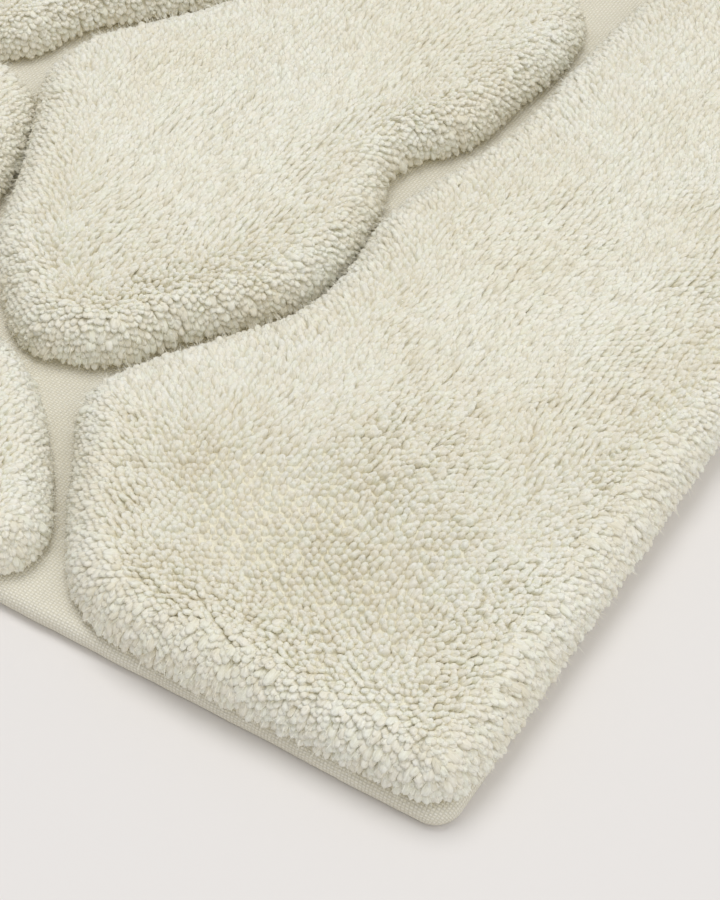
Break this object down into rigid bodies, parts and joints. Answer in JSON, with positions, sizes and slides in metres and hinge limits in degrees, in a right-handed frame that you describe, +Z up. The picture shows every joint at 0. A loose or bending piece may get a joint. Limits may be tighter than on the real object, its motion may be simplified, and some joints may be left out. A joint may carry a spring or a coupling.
{
  "type": "bath mat",
  "caption": "Flat rectangular tufted bath mat: raised rounded islands of cut pile on a woven base cloth with a folded hem and a non-slip backing.",
  "frame": {"origin": "on the floor plane under the middle of the mat", "axes": "+Z up, out of the pile; X along the mat's long sides; Y along its short sides; the corner the picture shows is at -X, -Y"},
  "size_m": [0.8, 0.5, 0.0255],
  "materials": {
    "cut_pile": "soft matt cut cotton pile",
    "woven_cloth": "matt plain weave",
    "sewing_thread": "matt twisted thread",
    "latex_backing": "matt with raised grip dots"
  },
  "bodies": {
    "root": {"base_cloth": "woven_cloth", "nonslip_backing": "latex_backing", "hem_thread_front": "sewing_thread", "hem_thread_back": "sewing_thread", "hem_thread_left": "sewing_thread", "hem_thread_right": "sewing_thread", "pile_front_left": "cut_pile", "pile_front_middle": "cut_pile", "pile_front_right": "cut_pile", "pile_left_edge": "cut_pile", "pile_centre_left": "cut_pile", "pile_centre": "cut_pile", "pile_right_edge": "cut_pile", "pile_inner_left": "cut_pile", "pile_inner_middle": "cut_pile", "pile_inner_right": "cut_pile", "pile_back_left": "cut_pile", "pile_back_middle": "cut_pile", "pile_back_centre": "cut_pile", "pile_back_right": "cut_pile"}
  },
  "joints": []
}
